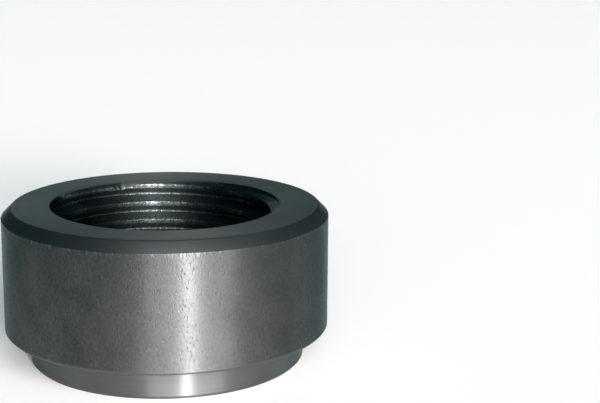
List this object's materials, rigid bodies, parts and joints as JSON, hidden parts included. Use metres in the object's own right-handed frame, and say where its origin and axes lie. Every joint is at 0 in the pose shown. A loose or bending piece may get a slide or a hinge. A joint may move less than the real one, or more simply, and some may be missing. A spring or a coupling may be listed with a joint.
{
  "type": "oxygen sensor weld bung",
  "caption": "Turned steel ring with a tapped bore, a flat gasket seat, a chamfered rim and a stepped spigot that drops into a hole in an exhaust pipe for welding.",
  "frame": {"origin": "middle of the spigot's end face, on which the bung stands", "axes": "+Z along the bore, from the spigot's end up to the gasket seat; X and Y are any two directions across the bore, because the solid is round"},
  "size_m": [0.0254, 0.0254, 0.0123],
  "materials": {
    "turned_steel": "uncoated mild steel, turned and tapped, dull dark satin"
  },
  "bodies": {
    "root": {"weld_bung": "turned_steel"}
  },
  "joints": []
}
